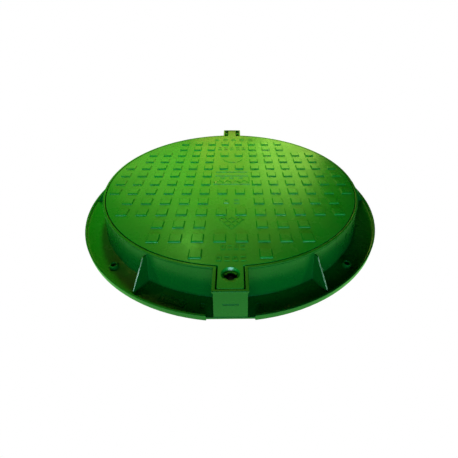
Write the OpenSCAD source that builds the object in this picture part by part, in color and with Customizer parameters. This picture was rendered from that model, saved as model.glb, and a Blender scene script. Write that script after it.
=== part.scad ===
// Round hinged manhole cover: a flanged frame with a lid that locks at the front.
// The origin is the centre of the flange's underside. +Z is up, the lock is at -Y.

/* [Flange] */
// Outer radius of the flange
flange_r = 375; // [372:1:380]
// Thickness of the flange plate
flange_t = 5.5; // [4:0.5:8]
// Height of the raised lip around the flange
lip_h = 13; // [10:0.5:15]
// Thickness of that lip
lip_t = 4; // [3:0.5:6]
// Distance from the centre to the flat cuts at the front and the back
flat_y = 370; // [369.5:0.5:371]
// Half width of the flat cuts
flat_half_w = 43; // [36:1:50]

/* [Frame wall] */
// Height of the rim above the flange's underside
rim_z = 75; // [74:1:80]
// Height of the rim's thicker edge
rim_edge_h = 5; // [4:0.5:7]
// Inner radius of the rim
rim_in_r = 315; // [315:0.5:316]
// Outer radius of the rim
rim_out_r = 320; // [319.5:0.5:322]
// Outer radius of the wall under the rim
wall_top_r = 318.5; // [318:0.5:319]
// Outer radius of the wall at the flange
wall_foot_r = 328; // [326:0.5:330]
// Radius of the clear opening
opening_r = 297; // [290:1:299]
// Height of the seat that carries the lid
seat_z = 30; // [28:1:31]

/* [Gussets and bosses] */
// Number of gussets around the wall
gusset_count = 6; // [6]
// Thickness of a gusset
gusset_t = 4; // [3:0.5:6]
// Radius where the gusset's slope starts, at the top
gusset_top_r = 327.5; // [324:0.5:332]
// Radius where the gusset's slope ends, at the lip
gusset_foot_r = 370; // [366:1:371]
// Distance from the centre to a bolt hole along X
bolt_x = 243; // [241:1:245]
// Distance from the centre to a bolt hole along Y
bolt_y = 249; // [247:1:251]
// Radius of the bolt holes
bolt_hole_r = 5; // [4:0.5:6]
// Height of the bosses around the bolt holes
boss_z = 13; // [11:0.5:20]

/* [Lugs] */
// Half width of the front lug at its top
front_half_w = 28.7; // [28:0.1:29.5]
// Half width of the front lug at the flange
front_foot_half_w = 30.2; // [28.7:0.1:32]
// Half width of the front lug's pocket
front_pocket_half_w = 25.1; // [24.8:0.1:25.3]
// Distance from the centre to the top of the front lug's face
front_y = 367.4; // [367.2:0.1:367.6]
// Distance from the centre to the foot of the front lug's face
front_foot_y = 369.6; // [368:0.1:369.8]
// Half width of the back lug's walls
back_half_w = 27.6; // [27.3:0.1:28.2]
// Half width of the back lug's pocket
back_pocket_half_w = 25.1; // [24.9:0.1:25.3]
// Distance from the centre to the back lug's face
back_y = 370.2; // [370:0.1:370.2]
// How far the rim's edge stands out from a lug's walls
lug_edge = 2.3; // [1:0.1:2.3]

/* [Lid] */
// Radius of the lid
lid_r = 313; // [312:0.1:313.4]
// Thickness of the lid's plate
lid_t = 8; // [6:0.5:9]
// Depth of the ribs under the plate
rib_depth = 26; // [20:1:30]
// Thickness of the ribs and the skirt
rib_t = 4; // [3:0.5:5]
// Half width of the lid's lock tab
lock_tab_half_w = 22.6; // [22:0.1:23.4]
// Distance from the centre to the lock tab's front
lock_tab_y = 363.7; // [362.8:0.1:364.2]
// Half width of the lid's hinge tab
hinge_tab_half_w = 13.5; // [12.5:0.1:13.6]
// Distance from the centre to the hinge tab's end
hinge_tab_y = 361.5; // [358:0.5:364.5]

/* [Tread] */
// Distance between the raised pads
pad_pitch = 43.7; // [43:0.1:44]
// Side of a pad
pad_w = 24; // [18:1:28]
// Height of a pad above the lid
pad_h = 3; // [2.5:0.5:5]
// Chamfer around the top of a pad
pad_chamfer = 1.6; // [0.5:0.1:2]
// Height of the raised ornaments above the lid
mark_h = 1.2; // [0.8:0.1:2]

/* [Hinge] */
// Distance from the centre to the hinge axis
hinge_y = 345; // [344.5:0.1:345.5]
// Height of the hinge axis
hinge_z = 65; // [64.5:0.1:65.2]
// Radius of the hinge pin
pin_r = 4; // [3:0.5:4]
// Radius of the knuckle around the pin
knuckle_r = 9.5; // [9:0.1:9.7]
// Radius of the frame's knuckles beside it
frame_knuckle_r = 9; // [8:0.1:9.5]

/* [Lock] */
// Distance from the centre to the lock's axis
lock_y = 332.6; // [332:0.1:333.5]
// Radius of the key recess at its top
recess_r = 16.25; // [15.5:0.25:17]
// Radius of the key recess at its floor
recess_foot_r = 13.25; // [13.25:0.25:14]
// Depth of the key recess
recess_depth = 6; // [4:0.5:7]
// Length of the keyhole's slot
keyhole_l = 26; // [22:0.5:26]
// Width of the keyhole's slot
keyhole_w = 8; // [6:0.5:10]
// Radius of the keyhole's round middle
keyhole_r = 8.5; // [8:0.5:9]
// Radius of the lock barrel's bore
barrel_bore_r = 11; // [10:0.5:12]
// Length of the cam from the lock's axis to its tip
cam_reach = 22; // [20:0.5:23]

/* [Hidden] */
$fn = 128;
moulding = "limegreen";
steel = "silver";
black = "dimgray";
eps = 0.01;
run_gap = 0.05;          // radial clearance of a turning fit

// Frame wall, channel under the seat and the lugs
wall_t = 4.5;            // at the foot; the rim's radii set it at the top
seat_t = 5;
skirt_t = 4.5;
web_count = 24;
web_t = 3;
wall_foot_in_r = wall_foot_r - wall_t;
rim_low_z = rim_z - rim_edge_h;
lug_back_y = 310;        // the lugs start inside the wall and are cut back to it
front_pocket_y = 365;
front_low_wall_y = 363.2;
front_low_wall_z = 60;
back_pocket_y = 367.4;
lug_corner_r = 3;
crease_z = 38;           // thin raised line on the front lug's face
crease_half_l = 14;
crease_h = 1.4;
crease_rise = 1.1;
boss_foot_r = 9.1;
boss_top_r = 8.5;
gusset_top_z = 66;
gusset_foot_z = 7;
dash_r = 351;            // short raised dashes on the flange beside the lugs
dash_angle = 8.5;
dash_h = 1.2;
plaque_angle = 18;       // raised oval with dashes on the flange's front left

// Lid underside
lid_z = rim_z - lid_t;
lid_floor_z = lid_z - rib_depth;
rib_pitch = 1.5 * pad_pitch;
rib_lines = 4;           // ribs on each side of the middle one
skirt_out_r = lid_r - 2.5;
gasket_h = 3;
gasket_in_r = 300;
gasket_out_r = 311;
skirt_foot_z = seat_z + gasket_h + 0.3;
tab_corner_r = 3;
tab_skirt_z = 50;
tab_skirt_t = 3;
tab_skirt_inset = 1.7;

// Lock stack, from the recess down to the nut
recess_z = rim_z - recess_depth;
keyhole_floor_t = 3;
bore_top_z = recess_z - keyhole_floor_t;
housing_z = 44;
housing_r = 14;
housing_half_l = 20;
housing_half_w = 6.5;
barrel_r = barrel_bore_r - run_gap;
barrel_top_z = bore_top_z - 1;
keyhole_foot_z = 58;
cup_r = 9.2;             // cup in the barrel's top around the stud
cup_z = 58.5;
barrel_foot_z = housing_z + 0.1;
stud_r = 5.5;            // six-sided stud that the key turns
stud_z = 62.5;
neck_r = 7.1;
plate_t = 2;
plate_hole_r = 7.5;
screw_x = 15.5;
screw_r = 1.9;
screw_bore_r = 2;
screw_head_r = 3.6;
screw_head_h = 2.4;
screw_tip_z = 55;
cam_t = 4;
cam_z = 35;
cam_w = 12;
cam_hub_r = 9;
shank_w = 10;
shank_hole_w = 10.2;
washer_t = 1.5;
nut_h = 5;
thread_r = 4;
thread_foot_z = 26.5;
ring_z = 55;             // O-ring groove
ring_r = 1.2;
groove_depth = 2.4;
groove_h = 2.6;

// Strike under the front lug's inner ledge
ledge_half_w = 14;
ledge_y = 349;
ledge_z = 41.5;
ledge_t = 4.5;
strike_t = 2;
strike_half_w = 12;
rivet_x = 7.5;
rivet_y = 355.5;
rivet_r = 1.6;

// Hinge
bush_wall = 2;
bush_flange_r = 7.5;
bush_flange_t = 1.5;
sleeve_wall = 1.5;
clip_t = 1;
clip_r = 6.5;
knuckle_in_x = hinge_tab_half_w + 2;        // inner face of the frame's knuckles
counterbore_r = 7.2;                        // room for the clips in the lug's cheeks
counterbore_x = back_half_w - 3;
clip_x = counterbore_x + 0.6;
post_front_l = 7;                           // post under a frame knuckle, in front of the axis

function wall_r(z) = wall_foot_r + (wall_top_r - wall_foot_r) * (z - flange_t) / (rim_low_z - flange_t);
function wall_in_r(z) = wall_foot_in_r + (rim_in_r - wall_foot_in_r) * z / rim_z;

function front_face_y(z) = front_foot_y + (front_y - front_foot_y) * z / rim_low_z;

// Columns of pads in a tread row, on each side of the middle, as half-pitch steps
function row_columns(row) =
  row == 6.5 ? [] :
  row == -6.5 ? [1.5] :
  abs(row) == 5.5 ? [0.5:1:3.5] :
  abs(row) == 4.5 ? [1.5:1:3.5] :
  abs(row) == 3.5 ? [0.5:1:5.5] :
  abs(row) == 2.5 ? [1.5:1:5.5] :
  abs(row) == 1.5 ? [0.5:1:6.5] : [1.5:1:6.5];

module at_lock(z) {
  translate([0, -lock_y, z]) children();
}

module both_sides() {
  children();
  mirror([1, 0, 0]) children();
}

// A bar from y = 0 to y = length whose two far corners are round
module round_bar(half_w, length, r) {
  translate([-half_w, 0]) square([2 * half_w, length - r]);
  translate([-half_w + r, 0]) square([2 * (half_w - r), length]);
  both_sides() translate([half_w - r, length - r]) circle(r, $fn = 48);
}

// A strip along X with bowed ends
module bowed_strip(half_l, half_w) {
  intersection() {
    circle(half_l);
    square([2 * half_l, 2 * half_w], center = true);
  }
}

module tube(r_out, r_in, h) {
  difference() {
    cylinder(r = r_out, h = h);
    translate([0, 0, -1]) cylinder(r = r_in, h = h + 2);
  }
}

// Solid of revolution inside the wall's outer face, with the flange and its lip
module frame_blank() {
  rotate_extrude($fn = 256) polygon([
    [0, 0], [flange_r, 0], [flange_r, lip_h], [flange_r - lip_t, lip_h],
    [flange_r - lip_t, flange_t], [wall_foot_r, flange_t], [wall_top_r, rim_low_z],
    [rim_out_r, rim_low_z], [rim_out_r, rim_z], [0, rim_z]
  ]);
}

// Space that the lid drops into, the clear opening, and the channel under the seat
module frame_hollow() {
  rotate_extrude($fn = 256) polygon([
    [0, -1], [opening_r, -1], [opening_r, seat_z], [wall_in_r(seat_z), seat_z],
    [rim_in_r, rim_z], [rim_in_r, rim_z + 1], [0, rim_z + 1]
  ]);
  rotate_extrude($fn = 256) polygon([
    [opening_r + skirt_t, -1], [wall_foot_in_r, -1], [wall_foot_in_r, 0],
    [wall_in_r(seat_z - seat_t), seat_z - seat_t], [opening_r + skirt_t, seat_z - seat_t]
  ]);
}

module channel_webs() {
  for (i = [0:web_count - 1])
    rotate((i + 0.5) * 360 / web_count)
      rotate([90, 0, 0])
        linear_extrude(web_t, center = true) polygon([
          [opening_r + 2, 0], [wall_foot_in_r + 1, 0],
          [wall_in_r(seat_z - seat_t) + 1, seat_z - seat_t + 1], [opening_r + 2, seat_z - seat_t + 1]
        ]);
}

module gussets() {
  for (i = [0:gusset_count - 1])
    rotate(i * 360 / gusset_count)
      rotate([90, 0, 0])
        linear_extrude(gusset_t, center = true) polygon([
          [wall_r(2) - 2, 2], [wall_r(gusset_top_z) - 1.2, gusset_top_z],
          [gusset_top_r, gusset_top_z], [gusset_foot_r, gusset_foot_z],
          [flange_r - 2, gusset_foot_z], [flange_r - 2, 2]
        ]);
}

module bolt_places() {
  for (sx = [-1, 1])
    for (sy = [-1, 1])
      translate([sx * bolt_x, sy * bolt_y, 0]) children();
}

// Two short raised dashes on the flange, on each side of the front lug
module flange_dashes() {
  both_sides() rotate(dash_angle) for (step = [0, 1])
    translate([0, step * 6 - dash_r, flange_t - eps]) linear_extrude(dash_h + eps)
      square([8, 2], center = true);
}

// Plain raised mark on the flange's front left: a long frame with short bars in it
module flange_plaque() {
  rotate(-plaque_angle) translate([0, -dash_r, flange_t - eps]) linear_extrude(dash_h + eps) {
    difference() {
      square([52, 16], center = true);
      square([48, 12], center = true);
    }
    dash_row(0, 5, 8.5, [4, 6]);
  }
}

// Block of a lug, pointing to -Y and wider at its foot, with the rim's edge around its top
module lug_block(half_w, foot_half_w, reach, foot_reach) {
  top_z = rim_low_z + eps;
  intersection() {
    translate([0, -lug_back_y, 0]) rotate([90, 0, 0]) linear_extrude(80)
      polygon([[-foot_half_w, 0], [foot_half_w, 0], [half_w, top_z], [-half_w, top_z]]);
    rotate([90, 0, 90]) linear_extrude(2 * foot_half_w + 2, center = true)
      polygon([[-lug_back_y, 0], [-foot_reach, 0], [-reach, top_z], [-lug_back_y, top_z]]);
  }
  rotate(180) translate([0, lug_back_y, rim_low_z]) linear_extrude(rim_edge_h)
    round_bar(half_w + lug_edge, reach + lug_edge - lug_back_y, lug_corner_r);
}

// Frame's knuckles on both sides of the lid's one, on posts that reach the lug's back wall
module frame_knuckles() {
  both_sides() {
    translate([knuckle_in_x, hinge_y, hinge_z]) rotate([0, 90, 0])
      cylinder(r = frame_knuckle_r, h = back_half_w - 1 - knuckle_in_x);
    translate([knuckle_in_x, hinge_y - post_front_l, flange_t - eps])
      cube([back_half_w - 1 - knuckle_in_x, post_front_l + back_pocket_y + 1 - hinge_y, hinge_z - flange_t]);
  }
}

// Bore of the bushes right through the knuckles and cheeks, with counterbores for the clips
module hinge_bores() {
  translate([-back_half_w - 4, hinge_y, hinge_z]) rotate([0, 90, 0])
    cylinder(r = pin_r + bush_wall, h = 2 * back_half_w + 8, $fn = 64);
  both_sides() translate([counterbore_x, hinge_y, hinge_z]) rotate([0, 90, 0])
    cylinder(r = counterbore_r, h = 8, $fn = 64);
}

// Pocket of a lug: open to the lid above the seat, and a closed well below it
module lug_pocket(half_w, reach, low_reach, low_z) {
  translate([-half_w, -reach, low_z]) cube([2 * half_w, reach - 280, rim_z + 1 - low_z]);
  translate([-half_w, -low_reach, seat_z]) cube([2 * half_w, low_reach - 280, rim_z - seat_z]);
  difference() {
    translate([-half_w, -low_reach, flange_t]) cube([2 * half_w, low_reach - 280, seat_z - flange_t + eps]);
    rotate_extrude($fn = 256)
      polygon([[0, 0], [wall_r(0), 0], [wall_r(seat_z + 1), seat_z + 1], [0, seat_z + 1]]);
  }
}

// Flats across the flange and its lip at the front lug
module flat_cut() {
  translate([-flat_half_w, -flange_r - 5, -1]) cube([2 * flat_half_w, flange_r + 5 - flat_y, lip_h + 2]);
  translate([-flat_half_w, -flange_r - 5, flange_t]) cube([2 * flat_half_w, 20, lip_h]);
}

module frame_shell() {
  difference() {
    union() {
      difference() {
        frame_blank();
        flat_cut();
        rotate(180) flat_cut();
      }
      lug_block(front_half_w, front_foot_half_w, front_y, front_foot_y);
      rotate(180) lug_block(back_half_w, back_half_w, back_y, flat_y - 0.1);
      gussets();
      flange_dashes();
      flange_plaque();
      bolt_places() cylinder(r1 = boss_foot_r, r2 = boss_top_r, h = boss_z, $fn = 64);
    }
    frame_hollow();
    lug_pocket(front_pocket_half_w, front_pocket_y, front_low_wall_y, front_low_wall_z);
    rotate(180) lug_pocket(back_pocket_half_w, back_pocket_y, back_pocket_y, front_low_wall_z);
    bolt_places() translate([0, 0, -1]) cylinder(r = bolt_hole_r, h = boss_z + 2, $fn = 64);
  }
  translate([-crease_half_l, -front_face_y(crease_z) - crease_rise, crease_z])
    cube([2 * crease_half_l, crease_rise + 1, crease_h]);
}

// Ledge inside the front lug that the cam turns under
module strike_ledge() {
  difference() {
    translate([-ledge_half_w, -front_low_wall_y - 1, ledge_z])
      cube([2 * ledge_half_w, front_low_wall_y + 1 - ledge_y, ledge_t]);
    both_sides() translate([rivet_x, -rivet_y, ledge_z - 1]) cylinder(r = rivet_r, h = ledge_t + 2, $fn = 32);
  }
}

module frame() {
  color(moulding) difference() {
    union() {
      frame_shell();
      frame_knuckles();
      channel_webs();
      strike_ledge();
    }
    hinge_bores();
  }
}

module seat_gasket() {
  color(black) translate([0, 0, seat_z]) tube(gasket_out_r, gasket_in_r, gasket_h, $fn = 256);
}

// Outline of the lid's plate, with both tabs
module lid_outline() {
  circle(lid_r, $fn = 256);
  translate([0, lug_back_y - 20]) round_bar(hinge_tab_half_w, hinge_tab_y - lug_back_y + 20, 1.5);
  rotate(180) translate([0, lug_back_y - 20])
    round_bar(lock_tab_half_w, lock_tab_y - lug_back_y + 20, tab_corner_r);
}

module rib_grid() {
  intersection() {
    circle(skirt_out_r - rib_t / 2, $fn = 256);
    for (i = [-rib_lines:rib_lines]) {
      translate([i * rib_pitch, 0]) square([rib_t, 2 * lid_r], center = true);
      translate([0, i * rib_pitch]) square([2 * lid_r, rib_t], center = true);
    }
  }
}

module tab_skirt() {
  half_w = lock_tab_half_w - tab_skirt_inset;
  reach = lock_tab_y - tab_skirt_inset - 1;
  rotate(180) translate([0, 0, tab_skirt_z]) linear_extrude(lid_z - tab_skirt_z + eps) difference() {
    translate([0, skirt_out_r - 6]) round_bar(half_w, reach - skirt_out_r + 6, 2);
    translate([0, skirt_out_r - 7]) round_bar(half_w - tab_skirt_t, reach - tab_skirt_t - skirt_out_r + 7, 1);
    circle(skirt_out_r - rib_t / 2, $fn = 256);
  }
}

module lock_housing() {
  at_lock(housing_z) linear_extrude(lid_z - housing_z + eps) {
    circle(housing_r);
    bowed_strip(housing_half_l, housing_half_w);
  }
}

module keyhole_shape() {
  circle(keyhole_r);
  bowed_strip(keyhole_l / 2, keyhole_w / 2);
}

module lock_cuts() {
  at_lock(recess_z) cylinder(r1 = recess_foot_r, r2 = recess_r, h = recess_depth + eps);
  at_lock(keyhole_foot_z) linear_extrude(recess_z - keyhole_foot_z + 1) keyhole_shape();
  at_lock(housing_z - 1) cylinder(r = barrel_bore_r, h = bore_top_z - housing_z + 1);
  at_lock(housing_z - 1) both_sides()
    translate([screw_x, 0, 0]) cylinder(r = screw_bore_r, h = screw_tip_z - housing_z + 2, $fn = 32);
}

// Knuckle around the pin, with a web up to the lid's plate
module knuckle() {
  translate([-hinge_tab_half_w, hinge_y, hinge_z]) rotate([0, 90, 0])
    cylinder(r = knuckle_r, h = 2 * hinge_tab_half_w);
  translate([-hinge_tab_half_w, skirt_out_r - 2, hinge_z - knuckle_r])
    cube([2 * hinge_tab_half_w, hinge_y - skirt_out_r + 2, knuckle_r + lid_z - hinge_z + 1]);
}

module knuckle_bore() {
  translate([-hinge_tab_half_w - 1, hinge_y, hinge_z]) rotate([0, 90, 0])
    cylinder(r = pin_r + run_gap + sleeve_wall, h = 2 * hinge_tab_half_w + 2, $fn = 64);
}

// Ridges along X at every tread row, with chamfered tops
module ridges() {
  half_w = pad_w / 2;
  for (row = [-6.5:1:6.5])
    translate([0, row * pad_pitch, 0]) rotate([90, 0, 90]) linear_extrude(2 * lid_r, center = true) polygon([
      [-half_w, -eps], [half_w, -eps], [half_w, pad_h - pad_chamfer],
      [half_w - pad_chamfer, pad_h], [pad_chamfer - half_w, pad_h], [-half_w, pad_h - pad_chamfer]
    ]);
}

// Squares that say which crossings of the ridges are pads
module pad_places() {
  for (row = [-6.5:1:6.5])
    for (column = row_columns(row))
      for (side = [-1, 1])
        translate([side * column, row] * pad_pitch) square(pad_w + 2, center = true);
}

module pads() {
  intersection() {
    ridges();
    rotate(90) ridges();
    translate([0, 0, -1]) linear_extrude(pad_h + 2) pad_places();
  }
}

// Row of short bars on the lid
module dash_row(y, count, pitch, size) {
  for (i = [0:count - 1])
    translate([(i - (count - 1) / 2) * pitch, y]) square(size, center = true);
}

// Square standing on its corner, as a frame
module lozenge(half, t) {
  rotate(45) difference() {
    square(half * sqrt(2), center = true);
    square((half - t) * sqrt(2), center = true);
  }
}

module box_mark(size, t) {
  difference() {
    square(size, center = true);
    square([size[0] - 2 * t, size[1] - 2 * t], center = true);
  }
}

// Row of plain marks, boxes and double bars by turns
module mark_row(y, count, pitch, size, t) {
  for (i = [0:count - 1])
    translate([(i - (count - 1) / 2) * pitch, y])
      if (i % 2 == 0) box_mark(size, t);
      else for (side = [-1, 1]) translate([0, side * (size[1] - t) / 2]) square([size[0], t], center = true);
}

// Zigzag of thin bars
module zigzag(y, count, pitch, rise, t) {
  for (i = [0:count - 1])
    translate([(i - (count - 1) / 2) * pitch, y]) rotate(i % 2 == 0 ? 45 : -45) square([rise, t], center = true);
}

// Plain ornaments in the middle band of the tread
module ornaments() {
  translate([6, 276]) mark_row(0, 5, 28.5, [15, 17], 2.8);
  mark_row(199.5, 5, 19, [11.5, 18], 2.6);
  translate([3, 129]) intersection() {
    difference() {
      circle(31);
      circle(21);
    }
    translate([-40, -45]) square([80, 40]);
  }
  translate([0.5, 38]) square([87, 2.4], center = true);
  translate([0.5, -6.5]) {
    box_mark([95, 47], 2.4);
    zigzag(-8, 8, 11, 17, 2);
    dash_row(11, 3, 24, [12, 3]);
  }
  translate([0.5, -109.5]) mark_row(0, 2, 25, [13, 16], 2.6);
  translate([1, -188]) {
    for (step = [-1:1]) translate([step * 17, 8]) lozenge(10, 2.4);
    for (side = [-1, 1]) translate([side * 8.5, -3]) lozenge(10, 2.4);
    translate([0, -14]) lozenge(10, 2.4);
  }
  translate([4, -266]) mark_row(0, 4, 12.5, [8, 12], 2.2);
  translate([1, -296]) mark_row(0, 4, 15, [9.5, 12], 2.4);
}

module lid() {
  color(moulding) difference() {
    union() {
      translate([0, 0, lid_z]) linear_extrude(lid_t) lid_outline();
      translate([0, 0, skirt_foot_z]) tube(skirt_out_r, skirt_out_r - rib_t, lid_z - skirt_foot_z + eps, $fn = 256);
      translate([0, 0, lid_floor_z]) linear_extrude(rib_depth + eps) rib_grid();
      tab_skirt();
      lock_housing();
      knuckle();
      translate([0, 0, rim_z]) pads();
      translate([0, 0, rim_z - eps]) linear_extrude(mark_h + eps) ornaments();
    }
    lock_cuts();
    knuckle_bore();
  }
}

module hinge_pin() {
  length = 2 * back_half_w - 0.6;
  color(steel) translate([0, hinge_y, hinge_z]) rotate([0, 90, 0]) difference() {
    cylinder(r = pin_r, h = length, center = true, $fn = 64);
    both_sides_of_pin() tube(pin_r + 1, pin_r - 0.8, clip_t + 0.1);
  }
}

module both_sides_of_pin() {
  translate([0, 0, clip_x - 0.05]) children();
  mirror([0, 0, 1]) translate([0, 0, clip_x - 0.05]) children();
}

// Flanged bushes pressed into the frame's knuckles
module hinge_bushes() {
  color(black) both_sides() translate([knuckle_in_x - bush_flange_t, hinge_y, hinge_z])
    rotate([0, 90, 0]) difference() {
      union() {
        cylinder(r = bush_flange_r, h = bush_flange_t, $fn = 64);
        cylinder(r = pin_r + bush_wall, h = bush_flange_t + counterbore_x - knuckle_in_x, $fn = 64);
      }
      translate([0, 0, -1]) cylinder(r = pin_r + run_gap, h = back_half_w, $fn = 64);
    }
}

// Snap rings in the pin's grooves, one in each counterbore
module hinge_clips() {
  color(steel) both_sides() translate([clip_x, hinge_y, hinge_z]) rotate([0, 90, 0])
    linear_extrude(clip_t) difference() {
      circle(clip_r, $fn = 64);
      circle(pin_r - 0.8, $fn = 64);
      translate([0, -2.2]) square([clip_r + 1, 4.4]);
    }
}

module knuckle_sleeve() {
  color(steel) translate([-hinge_tab_half_w, hinge_y, hinge_z]) rotate([0, 90, 0])
    tube(pin_r + run_gap + sleeve_wall, pin_r + run_gap, 2 * hinge_tab_half_w, $fn = 64);
}

// Barrel with the key's stud in a cup at its top, a square shank for the cam, and a threaded end
module lock_barrel() {
  color(steel) difference() {
    union() {
      at_lock(barrel_foot_z) cylinder(r = barrel_r, h = barrel_top_z - barrel_foot_z);
      at_lock(cam_z + cam_t) cylinder(r = neck_r, h = barrel_foot_z - cam_z - cam_t + 1);
      at_lock(cam_z) translate([-shank_w / 2, -shank_w / 2, 0]) cube([shank_w, shank_w, cam_t + 1]);
      at_lock(thread_foot_z) cylinder(r = thread_r, h = cam_z - thread_foot_z + 1, $fn = 48);
    }
    at_lock(ring_z - groove_h / 2) tube(barrel_r + 1, barrel_r - groove_depth, groove_h);
    at_lock(cup_z) difference() {
      cylinder(r = cup_r, h = barrel_top_z - cup_z + 1);
      translate([0, 0, -1]) cylinder(r = stud_r, h = stud_z - cup_z + 1, $fn = 6);
    }
  }
}

module lock_o_ring() {
  color(black) at_lock(ring_z) rotate_extrude() translate([barrel_r - ring_r, 0]) circle(ring_r - 0.05, $fn = 32);
}

module lock_retainer_plate() {
  color(steel) at_lock(housing_z - plate_t) linear_extrude(plate_t) difference() {
    union() {
      circle(housing_r - 2);
      bowed_strip(housing_half_l, housing_half_w);
    }
    circle(plate_hole_r);
    both_sides() translate([screw_x, 0]) circle(screw_bore_r, $fn = 32);
  }
}

module lock_plate_screws() {
  color(steel) both_sides() at_lock(0) translate([screw_x, 0, 0]) difference() {
    union() {
      translate([0, 0, housing_z - plate_t - screw_head_h]) cylinder(r = screw_head_r, h = screw_head_h, $fn = 48);
      translate([0, 0, housing_z - plate_t - 1]) cylinder(r = screw_r, h = screw_tip_z - housing_z + plate_t + 1, $fn = 32);
    }
    translate([-2.6, -0.4, housing_z - plate_t - screw_head_h - 1]) cube([5.2, 0.8, 2]);
  }
}

// Flat cam on the barrel's square shank; it points to +X when the lock is open
module lock_cam() {
  color(steel) at_lock(cam_z) linear_extrude(cam_t) difference() {
    union() {
      circle(cam_hub_r);
      translate([0, -cam_w / 2]) square([cam_reach - cam_w / 2, cam_w]);
      translate([cam_reach - cam_w / 2, 0]) circle(cam_w / 2, $fn = 64);
    }
    square(shank_hole_w, center = true);
  }
}

module lock_cam_washer() {
  color(steel) at_lock(cam_z - washer_t) tube(8.2, thread_r + 0.2, washer_t, $fn = 64);
}

module lock_cam_nut() {
  color(steel) at_lock(cam_z - washer_t - nut_h) difference() {
    cylinder(r = 7.5, h = nut_h, $fn = 6);
    translate([0, 0, -1]) cylinder(r = thread_r + run_gap, h = nut_h + 2, $fn = 48);
  }
}

module lock_strike_plate() {
  color(steel) translate([0, 0, ledge_z - strike_t]) linear_extrude(strike_t) difference() {
    translate([-strike_half_w, -front_low_wall_y + 1]) square([2 * strike_half_w, front_low_wall_y - 1.5 - ledge_y]);
    both_sides() translate([rivet_x, -rivet_y]) circle(rivet_r, $fn = 32);
  }
}

// Rivets through the ledge and the strike plate, flush below
module strike_rivets() {
  color(steel) both_sides() translate([rivet_x, -rivet_y, ledge_z - strike_t]) {
    cylinder(r = rivet_r, h = strike_t + ledge_t + 0.5, $fn = 32);
    translate([0, 0, strike_t + ledge_t]) cylinder(r1 = 3, r2 = 2, h = 1.3, $fn = 32);
  }
}

frame();
lid();
seat_gasket();
hinge_pin();
hinge_bushes();
hinge_clips();
knuckle_sleeve();
lock_barrel();
lock_o_ring();
lock_retainer_plate();
lock_plate_screws();
lock_cam();
lock_cam_washer();
lock_cam_nut();
lock_strike_plate();
strike_rivets();
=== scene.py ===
"""Looks of the hinged manhole cover: green moulded frame and lid, steel lock and hinge, rubber seal."""

import math

import bpy
from mathutils import Matrix, Vector

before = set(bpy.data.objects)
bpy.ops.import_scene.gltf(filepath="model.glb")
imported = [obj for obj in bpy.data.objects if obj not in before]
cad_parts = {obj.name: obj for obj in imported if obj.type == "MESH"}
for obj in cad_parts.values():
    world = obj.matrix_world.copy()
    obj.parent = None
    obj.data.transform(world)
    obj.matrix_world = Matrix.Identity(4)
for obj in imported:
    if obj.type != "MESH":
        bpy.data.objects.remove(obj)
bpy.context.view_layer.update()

MM = 0.001

# CAD nodes by what they are made of
MOULDINGS = ["frame", "lid"]
SEALS = ["seat_gasket", "lock_o_ring"]
BUSHES = ["hinge_bushes"]
PLATED = [
    "hinge_pin", "hinge_clips", "knuckle_sleeve", "lock_retainer_plate", "lock_plate_screws",
    "lock_cam", "lock_cam_washer", "lock_cam_nut", "lock_strike_plate", "strike_rivets",
]
BLACKENED = ["lock_barrel"]

# Width of the rounding along each node's sharp edges, in mm
EDGE_ROUNDS = {
    "frame": 0.9, "lid": 0.6, "seat_gasket": 0.6, "hinge_pin": 0.3, "hinge_bushes": 0.2,
    "hinge_clips": 0.15, "knuckle_sleeve": 0.2, "lock_barrel": 0.3, "lock_retainer_plate": 0.3,
    "lock_plate_screws": 0.15, "lock_cam": 0.4, "lock_cam_washer": 0.2, "lock_cam_nut": 0.3,
    "lock_strike_plate": 0.3, "strike_rivets": 0.2,
}
ROUND_SEGMENTS = 2
SHARP_ANGLE = math.radians(35.0)
WELD_DISTANCE = 0.001 * MM
FACE_WEIGHT = 90

# Camera: angles, metres, and the sensor and lens in mm
ELEVATION, YAW, ROLL = math.radians(36.22), math.radians(-1.23), math.radians(-0.50)
DISTANCE = 742.28 * MM
TARGET = Vector((19.36 * MM, -56.60 * MM, 0.0))
SENSOR_WIDTH = 36.0
LENS = 21.86332
SHIFT_X, SHIFT_Y = -0.0215, -0.0330
CLIP_NEAR, CLIP_FAR = 0.01, 100.0

# Floor, and the black ring on it under the frame, a painted shadow
FLOOR_HALF = 12.0
FLOOR_DROP = 0.5 * MM
FLOOR_BOUNCE = (0.0, 0.004, 0.002)
FLOOR_MIRRORED = (0.37, 1.20, 0.27)
SHADE_INNER, SHADE_OUTER = 0.306, 0.361
SHADE_DROP = 0.25 * MM
SHADE_STEPS = 96
SHADE_BLACK = (0.004, 0.004, 0.004)

# Colours of the lights
GREENISH = (0.30, 1.0, 0.12)
YELLOW = (0.92, 1.0, 0.18)
PALE = (0.70, 0.97, 1.0)
COOL_BLUE = (0.17, 0.57, 1.0)
COOL_PALE = (0.50, 0.80, 1.0)
NEAR_WHITE = (0.95, 1.0, 0.97)

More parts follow.
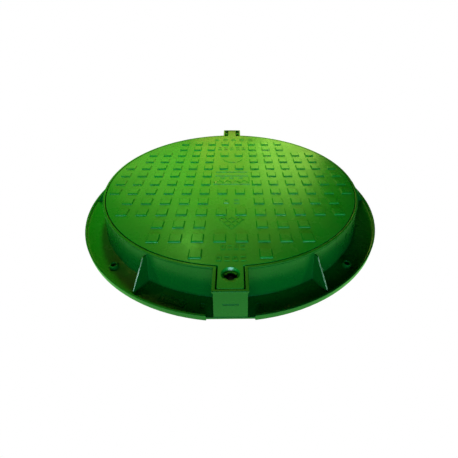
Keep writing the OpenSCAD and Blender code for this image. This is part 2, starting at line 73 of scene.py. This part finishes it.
# Spots: name, place, aim, radius of the source, watts, colour, cone in degrees, softness of its edge
BACK_SPOTS = (
    ("key", (-0.25, 0.58, 1.05), (-0.10, 0.06, 0.07), 0.08, 30.0, GREENISH, 48.0, 1.0),
    ("key_right", (0.30, 0.50, 1.10), (0.05, 0.11, 0.07), 0.10, 25.0, YELLOW, 29.0, 0.6),
    ("key_left", (-0.70, 0.25, 1.00), (-0.25, 0.0, 0.07), 0.10, 9.0, YELLOW, 30.0, 1.0),
    ("back_left", (-0.30, 0.75, 1.00), (-0.12, 0.08, 0.07), 0.06, 3.0, GREENISH, 36.0, 0.8),
)
RECESS_SPOT = (
    "recess_snoot", (0.10, -1.85, 0.38), (0.0, -0.318, 0.072), 0.02, 13.0, PALE, 2.4, 0.5,
)
GUSSET_SPOTS = (
    ("left_snoot", (-1.54, -0.89, 0.24), (-0.175, -0.302, 0.036), 0.08, 14.0, PALE, 5.0, 0.5),
    ("right_snoot", (1.52, -0.92, 0.26), (0.175, -0.302, 0.036), 0.08, 14.0, PALE, 5.0, 0.5),
)

# Cards, all in one plane behind the lid: name, x, z, size, watts, colour
CARD_Y = 2.2
CARD_AIM = (0.0, 0.0, 0.1)
CARDS = (
    ("card_left", -0.90, 1.15, (0.90, 0.8), 1.3, (0.60, 1.0, 0.15)),
    ("card_middle", -0.12, 0.90, (0.60, 0.8), 1.0, (1.0, 0.80, 0.14)),
    ("card_right", 0.58, 1.00, (0.70, 0.9), 2.6, (0.70, 1.0, 0.16)),
    ("card_top", -0.30, 2.20, (1.60, 1.5), 2.3, (0.75, 1.0, 0.15)),
)
NARROWED, OPEN = 120.0, 180.0  # spread of an area light, in degrees

# Sockets of a colour Mix node, which go by number because their names repeat
MIX_LOW, MIX_HIGH, MIX_RESULT = 6, 7, 2


# ---------------------------------------------------------------- node helpers

class Tree:
    """A material's nodes. A source is a (node, output) pair, and the helpers return one."""

    def __init__(self, name):
        self.material = bpy.data.materials.new(name)
        self.material.use_nodes = True
        self.tree = self.material.node_tree
        self.tree.nodes.clear()
        out = self.add("ShaderNodeOutputMaterial")
        self.shader = self.add("ShaderNodeBsdfPrincipled")
        self.link((self.shader, "BSDF"), out, "Surface")

    def add(self, kind, **values):
        node = self.tree.nodes.new(kind)
        for key, value in values.items():
            setattr(node, key, value)
        return node

    def link(self, source, target, socket):
        node, output = source
        self.tree.links.new(node.outputs[output], target.inputs[socket])

    def surface(self, tint, roughness, normal):
        """Sends three sources to the shader and gives the finished material."""
        self.link(tint, self.shader, "Base Color")
        self.link(roughness, self.shader, "Roughness")
        self.link(normal, self.shader, "Normal")
        return self.material

    def place(self, scale=(1, 1, 1)):
        """Object coordinates, which are the shared frame in metres, with a scale."""
        coords = self.add("ShaderNodeTexCoord")
        mapping = self.add("ShaderNodeMapping")
        mapping.inputs["Scale"].default_value = scale
        self.link((coords, "Object"), mapping, "Vector")
        return mapping, "Vector"

    def noise(self, where, scale, detail, roughness=0.55):
        node = self.add("ShaderNodeTexNoise")
        node.inputs["Scale"].default_value = scale
        node.inputs["Detail"].default_value = detail
        node.inputs["Roughness"].default_value = roughness
        self.link(where, node, "Vector")
        return node, "Fac"

    def spread(self, source, low, high, to_low, to_high):
        """A value from low to high, spread over to_low to to_high."""
        node = self.add("ShaderNodeMapRange")
        sockets = ("From Min", "From Max", "To Min", "To Max")
        for socket, value in zip(sockets, (low, high, to_low, to_high)):
            node.inputs[socket].default_value = value
        self.link(source, node, "Value")
        return node, "Result"

    def math(self, operation, a, b):
        """a and b are numbers or sources."""
        node = self.add("ShaderNodeMath", operation=operation)
        for socket, value in enumerate((a, b)):
            if isinstance(value, tuple):
                self.link(value, node, socket)
            else:
                node.inputs[socket].default_value = value
        return node, "Value"

    def times(self, a, b):
        return self.math("MULTIPLY", a, b)

    def mix(self, factor, low, high):
        """A colour between two colours, each an RGB tuple or a source."""
        node = self.add("ShaderNodeMix", data_type="RGBA")
        self.link(factor, node, 0)
        for socket, value in ((MIX_LOW, low), (MIX_HIGH, high)):
            if isinstance(value[0], bpy.types.Node):
                self.link(value, node, socket)
            else:
                node.inputs[socket].default_value = (*value, 1.0)
        return node, MIX_RESULT

    def edges(self, radius):
        """Close to 1 along sharp edges and 0 on flat stretches, whatever the mesh's points are."""
        round_normal = self.add("ShaderNodeBevel", samples=6)
        round_normal.inputs["Radius"].default_value = radius
        flat_normal = self.add("ShaderNodeNewGeometry")
        dot = self.add("ShaderNodeVectorMath", operation="DOT_PRODUCT")
        self.link((round_normal, "Normal"), dot, 0)
        self.link((flat_normal, "True Normal"), dot, 1)
        return self.spread(self.math("SUBTRACT", 1.0, (dot, "Value")), 0.02, 0.35, 0.0, 1.0)

    def crevices(self, distance):
        """Close to 1 in corners and grooves and 0 in the open."""
        open_sky = self.add("ShaderNodeAmbientOcclusion", samples=6, only_local=True)
        open_sky.inputs["Distance"].default_value = distance
        return self.spread((open_sky, "AO"), 0.35, 0.95, 1.0, 0.0)

    def bump(self, height, strength, distance, below=None):
        node = self.add("ShaderNodeBump")
        node.inputs["Strength"].default_value = strength
        node.inputs["Distance"].default_value = distance
        self.link(height, node, "Height")
        if below is not None:
            self.link(below, node, "Normal")
        return node, "Normal"


# ------------------------------------------------------------------- materials

def moulded_green():
    """Glossy moulded polymer: cloudy, with flow lines, orange peel, scuffed edges, a little dust, and
    painted shade darkening its crevices.
    """
    t = Tree("moulded_green")
    where = t.place()
    drift = t.noise(where, 3.0, 3.0)
    cloud = t.noise(where, 22.0, 5.0)
    flow = t.noise(t.place((6.0, 60.0, 60.0)), 1.0, 3.0)
    peel = t.noise(where, 260.0, 3.0)
    grain = t.noise(where, 1400.0, 2.0)
    speck = t.noise(where, 520.0, 2.0, 0.7)
    drifting = t.spread(drift, 0.3, 0.7, 0.0, 1.0)
    tint = t.mix(drifting, (0.004, 0.268, 0.018), (0.007, 0.318, 0.022))
    tint = t.mix(t.spread(cloud, 0.35, 0.75, 0.0, 0.35), tint, (0.003, 0.215, 0.017))
    tint = t.mix(t.spread(flow, 0.45, 0.75, 0.0, 0.20), tint, (0.012, 0.350, 0.034))
    patchy = t.spread(speck, 0.42, 0.68, 0.0, 1.0)
    worn = t.times(t.edges(0.9 * MM), patchy)
    tint = t.mix(t.times(worn, 0.30), tint, (0.070, 0.420, 0.110))
    # Dust and painted shade: ambient occlusion darkens the colour in corners and grooves and makes them
    # rougher
    dust_and_painted_shade = t.times(t.crevices(5 * MM), t.spread(cloud, 0.35, 0.7, 0.1, 1.0))
    tint = t.mix(t.times(dust_and_painted_shade, 0.10), tint, (0.060, 0.110, 0.040))
    roughness = t.spread(cloud, 0.3, 0.7, 0.23, 0.32)
    roughness = t.math("ADD", roughness, t.times(worn, 0.12))
    roughness = t.math("ADD", roughness, t.times(dust_and_painted_shade, 0.25))
    fine = t.bump(grain, 0.06, 0.2 * MM)
    skin = t.bump(peel, 0.06, 0.4 * MM, fine)
    wave = t.bump(cloud, 0.05, 1.0 * MM, skin)
    return t.surface(tint, roughness, wave)


def zinc_steel():
    """Zinc plated steel: faint crystals, drawn scratches, bright rubbed edges and dull patches."""
    t = Tree("zinc_steel")
    where = t.place()
    patch = t.noise(where, 60.0, 5.0)
    fleck = t.noise(where, 900.0, 3.0, 0.65)
    drawn = t.noise(t.place((40.0, 1500.0, 1500.0)), 1.0, 3.0)
    crystal = t.add("ShaderNodeTexVoronoi")
    crystal.inputs["Scale"].default_value = 420.0
    t.link(where, crystal, "Vector")
    tint = t.mix(t.spread(patch, 0.3, 0.7, 0.0, 1.0), (0.52, 0.54, 0.53), (0.64, 0.65, 0.61))
    tint = t.mix(t.spread((crystal, "Distance"), 0.0, 0.9, 0.0, 0.25), tint, (0.46, 0.49, 0.52))
    tint = t.mix(t.spread(fleck, 0.58, 0.75, 0.0, 0.45), tint, (0.30, 0.29, 0.26))
    rubbed = t.edges(0.5 * MM)
    tint = t.mix(t.times(rubbed, 0.6), tint, (0.78, 0.78, 0.76))
    t.shader.inputs["Metallic"].default_value = 1.0
    roughness = t.spread(patch, 0.3, 0.7, 0.28, 0.46)
    lines = t.bump(drawn, 0.10, 0.1 * MM)
    return t.surface(tint, roughness, t.bump(fleck, 0.12, 0.1 * MM, lines))


def dark_steel():
    """Blackened steel: mottled oxide, bare metal on the edges that the key rubs and a trace of rust."""
    t = Tree("dark_steel")
    where = t.place()
    mottle = t.noise(where, 180.0, 5.0)
    pits = t.noise(where, 1100.0, 3.0, 0.65)
    mottled = t.spread(mottle, 0.3, 0.7, 0.0, 1.0)
    tint = t.mix(mottled, (0.008, 0.009, 0.011), (0.022, 0.022, 0.023))
    tint = t.mix(t.spread(pits, 0.64, 0.78, 0.0, 0.4), tint, (0.055, 0.026, 0.014))
    bare = t.times(t.edges(0.5 * MM), t.spread(pits, 0.35, 0.6, 0.2, 1.0))
    tint = t.mix(t.times(bare, 0.6), tint, (0.30, 0.29, 0.28))
    t.shader.inputs["Metallic"].default_value = 0.9
    roughness = t.spread(mottle, 0.3, 0.7, 0.30, 0.48)
    return t.surface(tint, roughness, t.bump(pits, 0.20, 0.1 * MM))


def seal_rubber():
    """Matt black rubber with a fine sandy skin and pale dust."""
    t = Tree("seal_rubber")
    where = t.place()
    cloud = t.noise(where, 35.0, 5.0)
    sand = t.noise(where, 1600.0, 2.0)
    dust = t.noise(where, 240.0, 6.0, 0.7)
    tint = t.mix(cloud, (0.012, 0.012, 0.013), (0.028, 0.028, 0.027))
    tint = t.mix(t.spread(dust, 0.52, 0.78, 0.0, 0.55), tint, (0.105, 0.100, 0.088))
    roughness = t.spread(dust, 0.3, 0.75, 0.50, 0.78)
    t.shader.inputs["Sheen Weight"].default_value = 0.06
    return t.surface(tint, roughness, t.bump(sand, 0.25, 0.2 * MM))


def bush_plastic():
    """Satin black bearing plastic with turned rings and polished edges."""
    t = Tree("bush_plastic")
    where = t.place()
    cloud = t.noise(where, 160.0, 4.0)
    rings = t.noise(t.place((1800.0, 60.0, 60.0)), 1.0, 2.0)
    tint = t.mix(cloud, (0.018, 0.018, 0.020), (0.046, 0.046, 0.046))
    tint = t.mix(t.times(t.edges(0.4 * MM), 0.5), tint, (0.10, 0.10, 0.10))
    roughness = t.spread(cloud, 0.3, 0.7, 0.34, 0.50)
    return t.surface(tint, roughness, t.bump(rings, 0.15, 0.1 * MM))


def dress(nodes, material):
    for name in nodes:
        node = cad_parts[name]
        node.data.materials.clear()
        node.data.materials.append(material)


def soften(name, width):
    """Rounds the sharp edges of a CAD node with modifiers; the node's own mesh stays as it is."""
    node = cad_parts[name]
    weld = node.modifiers.new("weld", "WELD")
    weld.merge_threshold = WELD_DISTANCE
    bevel = node.modifiers.new("bevel", "BEVEL")
    bevel.width = width
    bevel.segments = ROUND_SEGMENTS
    bevel.limit_method = "ANGLE"
    bevel.angle_limit = SHARP_ANGLE
    bevel.use_clamp_overlap = False
    bevel.miter_outer = "MITER_SHARP"
    shade = node.modifiers.new("shade", "WEIGHTED_NORMAL")
    shade.weight = FACE_WEIGHT
    shade.keep_sharp = True


# ------------------------------------------------------------- camera and stage

def add_camera():
    """The camera, in front of the object, above it and looking down at it."""
    level = math.cos(ELEVATION)
    back = Vector((math.sin(YAW) * level, -math.cos(YAW) * level, math.sin(ELEVATION)))
    right = Vector((0, 0, 1)).cross(back).normalized()
    up = back.cross(right)
    side = right * math.cos(ROLL) - up * math.sin(ROLL)
    top = right * math.sin(ROLL) + up * math.cos(ROLL)
    data = bpy.data.cameras.new("camera")
    data.sensor_width = SENSOR_WIDTH
    data.lens = LENS
    data.shift_x, data.shift_y = SHIFT_X, SHIFT_Y
    data.clip_start, data.clip_end = CLIP_NEAR, CLIP_FAR
    camera = bpy.data.objects.new("camera", data)
    place = Matrix((side, top, back)).transposed().to_4x4()
    place.translation = TARGET + back * DISTANCE
    camera.matrix_world = place
    bpy.context.scene.collection.objects.link(camera)
    bpy.context.scene.camera = camera


def add_stage_mesh(name, corners, faces):
    """A flat piece of the studio, with an empty material of the same name."""
    mesh = bpy.data.meshes.new(name)
    mesh.from_pydata(corners, [], faces)
    piece = bpy.data.objects.new(name, mesh)
    bpy.context.scene.collection.objects.link(piece)
    material = bpy.data.materials.new(name)
    material.use_nodes = True
    mesh.materials.append(material)
    return piece, material


def add_floor():
    """A floor that is white to the camera. What it throws on the object and how gloss shows it differ."""
    half = FLOOR_HALF
    corners = [(-half, -half, 0), (half, -half, 0), (half, half, 0), (-half, half, 0)]
    floor, material = add_stage_mesh("floor", corners, [(0, 1, 2, 3)])
    floor.location.z = -FLOOR_DROP
    material.cycles.emission_sampling = "NONE"
    tree = material.node_tree
    tree.nodes.clear()
    out = tree.nodes.new("ShaderNodeOutputMaterial")
    path = tree.nodes.new("ShaderNodeLightPath")
    seen = tree.nodes.new("ShaderNodeEmission")
    for ray, colour in (("Is Diffuse Ray", FLOOR_BOUNCE), ("Is Glossy Ray", FLOOR_MIRRORED)):
        pick = tree.nodes.new("ShaderNodeMixShader")
        glow = tree.nodes.new("ShaderNodeEmission")
        glow.inputs["Color"].default_value = (*colour, 1)
        tree.links.new(path.outputs[ray], pick.inputs[0])
        tree.links.new(seen.outputs[0], pick.inputs[1])
        tree.links.new(glow.outputs[0], pick.inputs[2])
        seen = pick
    tree.links.new(seen.outputs[0], out.inputs["Surface"])


def add_world():
    """A surround that is white to the camera and black to everything else."""
    world = bpy.data.worlds.new("studio")
    bpy.context.scene.world = world
    world.use_nodes = True
    tree = world.node_tree
    tree.nodes.clear()
    out = tree.nodes.new("ShaderNodeOutputWorld")
    mix = tree.nodes.new("ShaderNodeMixShader")
    path = tree.nodes.new("ShaderNodeLightPath")
    black = tree.nodes.new("ShaderNodeBackground")
    black.inputs["Color"].default_value = (0, 0, 0, 1)
    white = tree.nodes.new("ShaderNodeBackground")
    white.inputs["Color"].default_value = (1, 1, 1, 1)
    tree.links.new(path.outputs["Is Camera Ray"], mix.inputs[0])
    tree.links.new(black.outputs[0], mix.inputs[1])
    tree.links.new(white.outputs[0], mix.inputs[2])
    tree.links.new(mix.outputs[0], out.inputs["Surface"])


def add_shade():
    """A black ring on the floor where the frame stands, a painted shadow in place of real shade. It shows
    only down the bolt holes.
    """
    steps = SHADE_STEPS
    corners = []
    for radius in (SHADE_INNER, SHADE_OUTER):
        for step in range(steps):
            angle = math.tau * step / steps
            corners.append((radius * math.cos(angle), radius * math.sin(angle), -SHADE_DROP))
    faces = [(i, steps + i, steps + (i + 1) % steps, (i + 1) % steps) for i in range(steps)]
    shade, material = add_stage_mesh("shade", corners, faces)
    skin = material.node_tree.nodes["Principled BSDF"]
    skin.inputs["Base Color"].default_value = (*SHADE_BLACK, 1)
    skin.inputs["Roughness"].default_value = 1.0
    skin.inputs["Specular IOR Level"].default_value = 0.0


# ---------------------------------------------------------------------- lights

def add_light(name, kind, place, aim, power, colour):
    data = bpy.data.lights.new(name, kind)
    data.energy = power
    data.color = colour
    light = bpy.data.objects.new(name, data)
    light.location = place
    light.rotation_euler = (Vector(aim) - Vector(place)).to_track_quat("-Z", "Y").to_euler()
    bpy.context.scene.collection.objects.link(light)
    return light


def add_area(name, place, aim, size, power, colour, spread):
    light = add_light(name, "AREA", place, aim, power, colour)
    light.data.shape = "RECTANGLE"
    light.data.size, light.data.size_y = size
    light.data.spread = math.radians(spread)
    return light


def add_spot(name, place, aim, radius, power, colour, cone, blend):
    light = add_light(name, "SPOT", place, aim, power, colour)
    light.data.shadow_soft_size = radius
    light.data.spot_size = math.radians(cone)
    light.data.spot_blend = blend
    return light


def light_only(light, names):
    """Lets a light reach only these CAD nodes."""
    lit = bpy.data.collections.new(light.name + "_lit")
    for name in names:
        lit.objects.link(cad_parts[name])
    light.light_linking.receiver_collection = lit


def add_lights():
    # From behind, so that the front walls and the flange's pockets stay in shade
    spots = {spot[0]: add_spot(*spot) for spot in BACK_SPOTS}
    spots["key"].visible_glossy = False  # or it makes a hot spot on the front of the lid

    # Cards that the glossy lid mirrors towards the camera
    for name, x, z, size, power, colour in CARDS:
        add_area(name, (x, CARD_Y, z), CARD_AIM, size, power, colour, NARROWED)

    # A cool fill on the front walls, and a strip that draws the lines along the pads
    add_area("front_fill", (0.0, -2.2, 0.35), (0.0, 0.0, 0.05), (2.4, 0.6), 9.0, COOL_BLUE, NARROWED)
    strip = add_area(
        "front_strip", (-0.10, -2.0, 0.36), (0.0, 0.0, 0.08), (1.8, 0.15), 22.0, COOL_PALE, OPEN)
    light_only(strip, ["lid"])

    # The back wall of the key recess, the hinge pin's ends, and the edges of the two front gussets
    light_only(add_spot(*RECESS_SPOT), ["lid"])
    card = add_area(
        "steel_card", (0.0, -0.7, 1.3), (0.0, 0.33, 0.06), (0.8, 0.8), 6.0, NEAR_WHITE, OPEN)
    light_only(card, BUSHES + PLATED + BLACKENED)
    for spot in GUSSET_SPOTS:
        add_spot(*spot)


# ----------------------------------------------------------------------- scene

bpy.context.scene.view_settings.view_transform = "Standard"
add_camera()
add_floor()
add_world()
add_shade()
add_lights()

dress(MOULDINGS, moulded_green())
dress(SEALS, seal_rubber())
dress(BUSHES, bush_plastic())
dress(PLATED, zinc_steel())
dress(BLACKENED, dark_steel())

for name, width in EDGE_ROUNDS.items():
    soften(name, width * MM)
